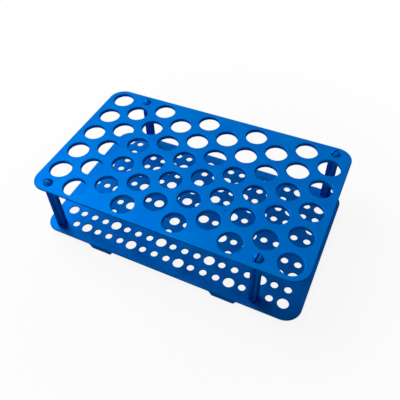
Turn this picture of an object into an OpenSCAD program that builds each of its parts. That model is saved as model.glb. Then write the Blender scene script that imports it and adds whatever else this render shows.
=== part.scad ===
// Two-tier microcentrifuge tube rack: two moulded plates held apart by four snap-in pillars.
// X runs along the long side, Y to the back and Z up. The origin is on the table, under the middle.

/* [Plates] */
// Length of both plates along X
plate_l = 213; // [206:1:230]
// Width of both plates along Y
plate_w = 130; // [128:1:150]
// Height from the lower plate's underside to the upper plate's top face
rack_h = 50; // [40:1:80]
// Thickness of the sheet of both plates
sheet_t = 1.2; // [1:0.1:2.4]
// Radius of the plates' corners, seen from above
corner_r = 12.5; // [6:0.5:14]
// Radius that rounds the top edge of each plate
rim_r = 0.8; // [0.2:0.1:0.9]

/* [Tube holes] */
// Diameter of a tube hole
tube_d = 17; // [12:0.5:17.5]
// Number of columns of tube holes
columns = 10; // [4:2:10]
// Tube holes in each column
rows = 5; // [3:1:5]
// Distance from the middle of the end columns to the ends of the plates
end_margin = 13.6; // [12:0.1:16]
// Distance from the middle of the outermost tube holes to the long edges
side_margin = 12.35; // [12:0.05:14]
// Depth of the collar around a tube hole, from the top face
collar_h = 3; // [2.5:0.1:8]
// Wall of that collar
collar_t = 1; // [0.6:0.1:1.4]
// Radius that rounds the mouth of a tube hole
mouth_r = 0.8; // [0.2:0.1:0.9]

/* [Lower holes] */
// Diameter of the hole that takes a tube's tip, under each tube hole
tip_d = 8.4; // [5:0.1:9]
// Diameter of the small holes between them
drain_d = 5.6; // [3:0.1:7]
// Least web between a lower hole and a pillar
pillar_web = 1.5; // [0.5:0.1:2.5]

/* [Pillars] */
// Diameter of a pillar
pillar_d = 8; // [7:0.1:9]
// Distance from a pillar's axis to the long edge of the plates
pillar_inset = 7.8; // [6.5:0.1:8.5]
// Thickness of the four ribs that make a pillar's shank
rib_t = 1.8; // [1.2:0.1:2.6]
// Height of the round shoulder at each end of the shank
shoulder_h = 1.5; // [1.4:0.1:4]
// Diameter of the neck that passes through a plate
neck_d = 6.4; // [5:0.1:6.6]
// Clearance around the neck in its hole
neck_clearance = 0.15; // [0.05:0.05:0.3]
// Overhang of the snap head past the hole's edge
snap_overhang = 0.45; // [0.2:0.05:0.8]
// Clearance between the snap head and the plate
snap_clearance = 0.1; // [0:0.05:0.3]
// Height of the snap head
head_h = 3.2; // [2:0.1:4]
// Width of the slot that splits the snap head
slot_w = 1.2; // [0.6:0.1:2]
// Depth of that slot in the shoulder
slot_depth = 0.6; // [0.6:0.1:1.3]

/* [Feet] */
// Clearance between the lower snap heads and the table
table_clearance = 0.7; // [0.2:0.1:6]
// Length of a foot where it meets the plate
foot_l = 21.6; // [14:0.2:28]
// Length that each end of a foot loses towards the table
foot_taper = 2.5; // [0:0.1:4]
// Thickness of a foot
foot_t = 3; // [1.5:0.1:5]
// Columns between the middle of the rack and the middle of a foot
foot_columns = 2.5; // [1:0.5:3]

/* [Gate marks] */
// Diameter of the small gate marks in the upper plate
gate_d = 1.3; // [0.6:0.1:2]
// Depth of a gate mark
gate_depth = 0.35; // [0.1:0.05:0.6]

/* [Hidden] */
$fn = 48;
eps = 0.01;
col_pitch = (plate_l - 2 * end_margin) / (columns - 1);
// A column spans rows - 1 pitches, and the stagger adds a quarter of a pitch at each end.
row_pitch = (plate_w - 2 * side_margin) / (rows - 0.5);
stagger = row_pitch / 4;
foot_h = snap_clearance + head_h + table_clearance;
lower_z = foot_h;
lower_top = lower_z + sheet_t;
upper_top = lower_z + rack_h;
upper_z = upper_top - sheet_t;
neck_hole_d = neck_d + 2 * neck_clearance;
head_d = neck_hole_d + 2 * snap_overhang;
pillar_y = plate_w / 2 - pillar_inset;

// Middle of column k, and how far that column is shifted to the back.
function column_x(k) = (k - (columns - 1) / 2) * col_pitch;
function column_shift(k) = k % 2 == 0 ? stagger : -stagger;
function tube_xy(k, j) = [column_x(k), (j - (rows - 1) / 2) * row_pitch + column_shift(k)];

// Pillar axes: the first column and the last but one at the front, turned half round at the back.
front_left = [column_x(0), -pillar_y];
front_right = [column_x(columns - 2), -pillar_y];
back_left = -front_right;
back_right = -front_left;
pillar_axes = [front_left, front_right, back_left, back_right];

// The lower holes stand on a lattice of half the tube pitch both ways.
function lattice_xy(i, j) = [column_x(i / 2), (j - rows + 0.5) * row_pitch / 2];
function under_tube(i, j) = i % 2 == 0 && (i / 2 + j) % 2 == 1;
function lower_d(i, j) = under_tube(i, j) ? tip_d : drain_d;
function clears_pillars(p, d) =
    min([for (a = pillar_axes) norm(a - p)]) > (d + pillar_d) / 2 + pillar_web;

// A gate lies at equal distance from one hole of column k and two holes of the next column.
function gate_xy(k, j) = tube_xy(k, j) + [col_pitch / 2 + row_pitch ^ 2 / (8 * col_pitch), 0];
gates = [gate_xy(2, 1), gate_xy(2, rows - 2), -gate_xy(2, 1), -gate_xy(2, rows - 2)];

// Section through a plate's edge, from the axis out to reach, with the top edge rounded.
module edge_section(reach) {
    difference() {
        square([reach, sheet_t]);
        translate([reach - rim_r, sheet_t - rim_r]) difference() {
            square(rim_r + eps);
            circle(rim_r);
        }
    }
}

// A plate without holes: its underside at z = 0, rounded corners and a rounded top edge.
module blank_plate() {
    side_x = plate_l / 2 - corner_r;
    side_y = plate_w / 2 - corner_r;
    corners = [[side_x, side_y, 0], [-side_x, side_y, 90], [-side_x, -side_y, 180], [side_x, -side_y, 270]];
    translate([-side_x, -side_y, 0]) cube([2 * side_x, 2 * side_y, sheet_t]);
    for (c = corners) translate([c[0], c[1], 0]) rotate([0, 0, c[2]]) {
        rotate_extrude(angle = 90) edge_section(corner_r);
    }
    for (turn = [0, 180]) rotate([0, 0, turn]) {
        translate([side_x, side_y, 0]) rotate([90, 0, 0]) linear_extrude(2 * side_y) edge_section(corner_r);
        translate([side_x, -side_y, 0]) rotate([90, 0, -90]) linear_extrude(2 * side_x) edge_section(corner_r);
    }
}

// What a tube hole takes away, from the top face at z = 0 down: a straight bore with a rounded mouth.
module tube_bore() {
    r = tube_d / 2;
    translate([0, 0, -collar_h - 1]) cylinder(h = collar_h + 2, r = r);
    rotate_extrude() difference() {
        translate([0, -mouth_r]) square([r + mouth_r, mouth_r + 1]);
        translate([r + mouth_r, -mouth_r]) circle(mouth_r);
    }
}

module at_tube_holes() {
    for (k = [0:columns - 1], j = [0:rows - 1]) translate(tube_xy(k, j)) children();
}

module at_pillars() {
    for (a = pillar_axes) translate(a) children();
}

module upper_plate() {
    color("dodgerblue") difference() {
        union() {
            translate([0, 0, upper_z]) blank_plate();
            at_tube_holes() translate([0, 0, upper_top - collar_h]) {
                cylinder(h = collar_h - rim_r, d = tube_d + 2 * collar_t);
            }
        }
        at_tube_holes() translate([0, 0, upper_top]) tube_bore();
        at_pillars() translate([0, 0, upper_z - 1]) cylinder(h = sheet_t + 2, d = neck_hole_d);
        for (g = gates) translate([g[0], g[1], upper_top - gate_depth]) {
            cylinder(h = gate_depth + 1, d = gate_d, $fn = 24);
        }
    }
}

// One foot hangs from the lower plate's underside at y = 0 and is foot_t thick towards +Y.
module foot() {
    rotate([90, 0, 180]) linear_extrude(foot_t) polygon([
        [-foot_l / 2, 0],
        [foot_l / 2, 0],
        [foot_l / 2 - foot_taper, -foot_h],
        [-foot_l / 2 + foot_taper, -foot_h]
    ]);
}

module lower_plate() {
    color("dodgerblue") difference() {
        union() {
            translate([0, 0, lower_z]) blank_plate();
            for (turn = [0, 180], side = [-1, 1]) rotate([0, 0, turn]) {
                translate([side * foot_columns * col_pitch, -plate_w / 2, lower_z]) foot();
            }
        }
        for (i = [0:2 * columns - 2], j = [0:2 * rows - 1]) {
            p = lattice_xy(i, j);
            if (clears_pillars(p, lower_d(i, j))) translate([p[0], p[1], lower_z - 1]) {
                cylinder(h = sheet_t + 2, d = lower_d(i, j), $fn = 32);
            }
        }
        at_pillars() translate([0, 0, lower_z - 1]) cylinder(h = sheet_t + 2, d = neck_hole_d);
    }
}

// A pillar's upper end, with z = 0 on its shoulder: neck, domed snap head.
module snap_end() {
    head_r = head_d / 2;
    head_z = sheet_t + snap_clearance;
    dome_r = (head_r ^ 2 + head_h ^ 2) / (2 * head_h);
    cylinder(h = head_z + eps, d = neck_d);
    translate([0, 0, head_z]) rotate_extrude() intersection() {
        translate([0, head_h - dome_r]) circle(dome_r);
        square([head_r, head_h]);
    }
}

// The slot that splits a snap end in two prongs, round at its root.
module snap_slot() {
    root_z = slot_w / 2 - slot_depth;
    slot_h = sheet_t + snap_clearance + head_h + 1 - root_z;
    translate([-slot_w / 2, -pillar_d, root_z]) cube([slot_w, 2 * pillar_d, slot_h]);
    translate([0, pillar_d, root_z]) rotate([90, 0, 0]) cylinder(h = 2 * pillar_d, d = slot_w, $fn = 24);
}

// Four ribs in a cross, at 45 degrees to the slots, with the pillar's own curve on their outer faces.
module shank(length) {
    intersection() {
        cylinder(h = length, d = pillar_d, center = true);
        for (side = [45, 135]) rotate([0, 0, side]) cube([2 * pillar_d, rib_t, length], center = true);
    }
}

// A pillar is the same at both ends, so it goes in either way up. turn sets the slots' direction.
module pillar(turn) {
    half_l = (upper_z - lower_top) / 2;
    color("royalblue") translate([0, 0, lower_top + half_l]) rotate([0, 0, turn]) difference() {
        union() {
            shank(2 * half_l);
            for (flip = [0, 180]) rotate([flip, 0, 0]) {
                translate([0, 0, half_l - shoulder_h]) cylinder(h = shoulder_h, d = pillar_d);
                translate([0, 0, half_l]) snap_end();
            }
        }
        for (flip = [0, 180]) rotate([flip, 0, 0]) translate([0, 0, half_l]) snap_slot();
    }
}

module pillar_front_left() translate(front_left) pillar(turn = -68);
module pillar_front_right() translate(front_right) pillar(turn = -8);
module pillar_back_left() translate(back_left) pillar(turn = 75);
module pillar_back_right() translate(back_right) pillar(turn = -34);

upper_plate();
lower_plate();
pillar_front_left();
pillar_front_right();
pillar_back_left();
pillar_back_right();
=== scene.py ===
"""The finish, light and camera of a two-tier tube rack.

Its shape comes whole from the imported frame. The scene is in metres.
"""

import math

import bpy
from mathutils import Matrix, Vector


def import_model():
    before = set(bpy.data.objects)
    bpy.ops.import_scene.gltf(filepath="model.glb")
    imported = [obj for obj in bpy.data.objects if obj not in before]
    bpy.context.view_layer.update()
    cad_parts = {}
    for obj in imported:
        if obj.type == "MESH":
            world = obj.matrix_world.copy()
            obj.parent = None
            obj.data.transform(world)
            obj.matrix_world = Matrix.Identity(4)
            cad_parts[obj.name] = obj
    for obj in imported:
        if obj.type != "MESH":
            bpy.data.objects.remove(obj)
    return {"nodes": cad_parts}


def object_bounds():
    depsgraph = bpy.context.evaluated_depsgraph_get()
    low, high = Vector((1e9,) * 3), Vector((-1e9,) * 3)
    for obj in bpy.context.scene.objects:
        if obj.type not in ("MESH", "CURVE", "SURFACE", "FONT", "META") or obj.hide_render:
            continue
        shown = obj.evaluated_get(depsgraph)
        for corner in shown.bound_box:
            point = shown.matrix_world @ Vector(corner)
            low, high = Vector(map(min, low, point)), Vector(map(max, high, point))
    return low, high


MM = 0.001

# Camera, in millimetres and degrees. Azimuth 0 looks along +Y, and a positive one
# stands to the right of that.
CAMERA_TARGET = (7.0, -19.4, 54.0)
CAMERA_DISTANCE = 349.5
CAMERA_AZIMUTH = 27.75
CAMERA_ELEVATION = 47.19
CAMERA_ROLL = -2.94
CAMERA_LENS = 43.33
CAMERA_SENSOR = 36.0
CAMERA_SHIFT = (0.0230, -0.0299)
# The nearest and farthest distance that the camera shows, in metres
CAMERA_CLIP = (0.01, 30.0)

# Lamps: name, azimuth, elevation, distance, size across, size up, power in watts.
# The angles are as the camera's, and the lengths are in millimetres.
LAMPS = (
    ("key", -104, 58, 820, 500, 500, 6.6),
    ("low_left", -55, 10, 600, 500, 200, 0.2),
)
WORLD_STRENGTH = 0.014

# The floor, in metres. It stands a little under the feet, so that no two faces share
# a plane.
FLOOR_SIZE = 12
FLOOR_DROP = -0.0001
# What the camera sees of the floor is plain white, mixed with this share of a lit
# surface, which takes the object's shadow. From the near distance the share fades,
# and at the far one it is none.
SHADOW_SHARE = 0.1
SHADOW_NEAR = 0.09
SHADOW_FAR = 0.3
# Colours of the floor: its lit surface, and what throws light back at the object
FLOOR_LIT = (0.9, 0.9, 0.9, 1)
FLOOR_BOUNCE = (0.6, 0.6, 0.6, 1)
WHITE = (1, 1, 1, 1)

# Linear colours of the plastic, mixed by its flow marks
BLUE_BRIGHT = (0.0, 0.18, 0.66, 1)
BLUE_DEEP = (0.0, 0.15, 0.62, 1)
# Where in the flow noise the deep blue ends and the bright blue begins
FLOW_DEEP = 0.3
FLOW_BRIGHT = 0.7
# White gloss would grey the pure blue, so it is off, and a small metallic share gives
# a blue gloss. The tint is the colour of that gloss near grazing angles.
WHITE_GLOSS = 0.0
GLOSS_TINT = (0.02, 0.3, 1.0, 1)
PLASTIC_IOR = 1.5

# Noise scales, per metre
FLOW_SCALE = 38.0
GLOSS_SCALE = 160.0
RIPPLE_SCALE = 240.0
GRAIN_SCALE = 2600.0
# The part of the noise's range that is spread over the range of the roughness
NOISE_LOW = 0.25
NOISE_HIGH = 0.75
# Height of the moulded relief, in metres
RELIEF_HEIGHT = 0.00003


def direction(azimuth, elevation):
    """Unit vector from the object towards something at these angles."""
    a, e = math.radians(azimuth), math.radians(elevation)
    return Vector((math.sin(a) * math.cos(e), -math.cos(a) * math.cos(e), math.sin(e)))


class Nodes:
    """Short calls that build one node tree."""

    def __init__(self, tree):
        self.tree = tree
        tree.nodes.clear()

    def add(self, kind, inputs=None, **settings):
        """A new node. Each input is a value, or another node's socket to link."""
        node = self.tree.nodes.new(kind)
        for name, value in settings.items():
            setattr(node, name, value)
        for name, value in (inputs or {}).items():
            socket = node.inputs[name]
            if isinstance(value, bpy.types.NodeSocket):
                self.tree.links.new(value, socket)
            else:
                socket.default_value = value
        return node

    def combine(self, operation, first, second):
        """One number from two, by a Math node's operation."""
        node = self.add("ShaderNodeMath", {0: first, 1: second}, operation=operation)
        return node.outputs["Value"]

    def mix(self, share, first, second):
        """A blend of two shaders: all of the first at 0, and all of the second at 1."""
        node = self.add("ShaderNodeMixShader", {0: share, 1: first, 2: second})
        return node.outputs["Shader"]

    def place(self):
        return self.add("ShaderNodeTexCoord").outputs["Object"]

    def noise(self, place, scale, detail=2.0):
        inputs = {"Vector": place, "Scale": scale, "Detail": detail, "Roughness": 0.5}
        return self.add("ShaderNodeTexNoise", inputs).outputs["Fac"]

    def seen(self):
        """1 for rays that show a thing to the camera: straight, by gloss or through clear
        matter. 0 for the rays of light itself."""
        path = self.add("ShaderNodeLightPath").outputs
        shown = self.combine("MAXIMUM", path["Is Camera Ray"], path["Is Glossy Ray"])
        return self.combine("MAXIMUM", shown, path["Is Transmission Ray"])


def plastic(name, smoothest, roughest, grain, metallic):
    """Moulded blue plastic: faint flow marks, uneven gloss and a fine moulded grain."""
    material = bpy.data.materials.new(name)
    material.use_nodes = True
    n = Nodes(material.node_tree)
    place = n.place()
    ramp = n.add("ShaderNodeValToRGB", {"Fac": n.noise(place, FLOW_SCALE, detail=3.0)})
    deep, bright = ramp.color_ramp.elements
    deep.position, deep.color = FLOW_DEEP, BLUE_DEEP
    bright.position, bright.color = FLOW_BRIGHT, BLUE_BRIGHT
    roughness = n.add(
        "ShaderNodeMapRange",
        {
            "Value": n.noise(place, GLOSS_SCALE),
            "From Min": NOISE_LOW,
            "From Max": NOISE_HIGH,
            "To Min": smoothest,
            "To Max": roughest,
        },
    )
    fine = n.noise(place, GRAIN_SCALE, detail=1.0)
    ripple = n.noise(place, RIPPLE_SCALE, detail=1.0)
    relief = n.combine("ADD", fine, ripple)
    bump = n.add(
        "ShaderNodeBump",
        {"Height": relief, "Strength": grain, "Distance": RELIEF_HEIGHT},
    )
    shader = n.add(
        "ShaderNodeBsdfPrincipled",
        {
            "Base Color": ramp.outputs["Color"],
            "Roughness": roughness.outputs["Result"],
            "Normal": bump.outputs["Normal"],
            "IOR": PLASTIC_IOR,
            "Specular IOR Level": WHITE_GLOSS,
            "Metallic": metallic,
            "Specular Tint": GLOSS_TINT,
        },
    )
    n.add("ShaderNodeOutputMaterial", {"Surface": shader.outputs["BSDF"]})
    return material


def dress(frame):
    """The plates get a satin plastic, and the pillars a glossier one."""
    plate = plastic("plate_plastic", 0.32, 0.44, grain=0.35, metallic=0.13)
    pillar = plastic("pillar_plastic", 0.20, 0.28, grain=0.15, metallic=0.18)
    for name, node in frame["nodes"].items():
        node.data.materials.clear()
        node.data.materials.append(pillar if name.startswith("pillar") else plate)


def floor():
    """A white floor that keeps a soft shadow, and doesn't hide the object from below."""
    bpy.ops.mesh.primitive_plane_add(size=FLOOR_SIZE, location=(0, 0, FLOOR_DROP))
    plane = bpy.context.object
    plane.name = "floor"
    material = bpy.data.materials.new("floor_white")
    material.use_nodes = True
    n = Nodes(material.node_tree)
    lit = n.add("ShaderNodeBsdfDiffuse", {"Color": FLOOR_LIT}).outputs["BSDF"]
    bounce = n.add("ShaderNodeBsdfDiffuse", {"Color": FLOOR_BOUNCE}).outputs["BSDF"]
    plain = n.add("ShaderNodeEmission", {"Color": WHITE, "Strength": 1.0})
    distance = n.add("ShaderNodeVectorMath", {0: n.place()}, operation="LENGTH")
    share = n.add(
        "ShaderNodeMapRange",
        {
            "Value": distance.outputs["Value"],
            "From Min": SHADOW_NEAR,
            "From Max": SHADOW_FAR,
            "To Min": SHADOW_SHARE,
            "To Max": 0.0,
        },
        interpolation_type="SMOOTHSTEP",
    )
    shown = n.mix(share.outputs["Result"], plain.outputs["Emission"], lit)
    upper = n.mix(n.seen(), bounce, shown)
    under = n.add("ShaderNodeNewGeometry").outputs["Backfacing"]
    clear = n.add("ShaderNodeBsdfTransparent").outputs["BSDF"]
    n.add("ShaderNodeOutputMaterial", {"Surface": n.mix(under, upper, clear)})
    plane.data.materials.append(material)


def world():
    """A white surround for the camera, and a dim even fill for everything else."""
    surround = bpy.data.worlds.new("surround")
    surround.use_nodes = True
    bpy.context.scene.world = surround
    n = Nodes(surround.node_tree)
    fill = n.add("ShaderNodeBackground", {"Color": WHITE, "Strength": WORLD_STRENGTH})
    white = n.add("ShaderNodeBackground", {"Color": WHITE, "Strength": 1.0})
    surface = n.mix(n.seen(), fill.outputs["Background"], white.outputs["Background"])
    n.add("ShaderNodeOutputWorld", {"Surface": surface})


def lamps(centre):
    """Soft rectangular lamps that face the middle of the object."""
    for name, azimuth, elevation, distance, across, up, power in LAMPS:
        data = bpy.data.lights.new(name, "AREA")
        data.shape = "RECTANGLE"
        data.size = across * MM
        data.size_y = up * MM
        data.energy = power
        lamp = bpy.data.objects.new(name, data)
        towards = direction(azimuth, elevation)
        lamp.location = centre + towards * distance * MM
        lamp.rotation_mode = "QUATERNION"
        lamp.rotation_quaternion = towards.to_track_quat("Z", "Y")
        bpy.context.collection.objects.link(lamp)


def camera():
    """The camera, at the photo's viewing angle."""
    data = bpy.data.cameras.new("camera")
    data.lens = CAMERA_LENS
    data.sensor_width = CAMERA_SENSOR
    data.shift_x, data.shift_y = CAMERA_SHIFT
    data.clip_start, data.clip_end = CAMERA_CLIP
    view = bpy.data.objects.new("camera", data)
    back = direction(CAMERA_AZIMUTH, CAMERA_ELEVATION)
    roll = Matrix.Rotation(math.radians(CAMERA_ROLL), 3, "Z")
    turn = back.to_track_quat("Z", "Y").to_matrix() @ roll
    view.location = Vector(CAMERA_TARGET) * MM + back * CAMERA_DISTANCE * MM
    view.rotation_mode = "QUATERNION"
    view.rotation_quaternion = turn.to_quaternion()
    bpy.context.collection.objects.link(view)
    bpy.context.scene.camera = view


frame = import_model()
cad_low, cad_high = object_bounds()
dress(frame)
floor()
world()
lamps((cad_low + cad_high) / 2)
camera()
bpy.context.scene.view_settings.view_transform = "Standard"
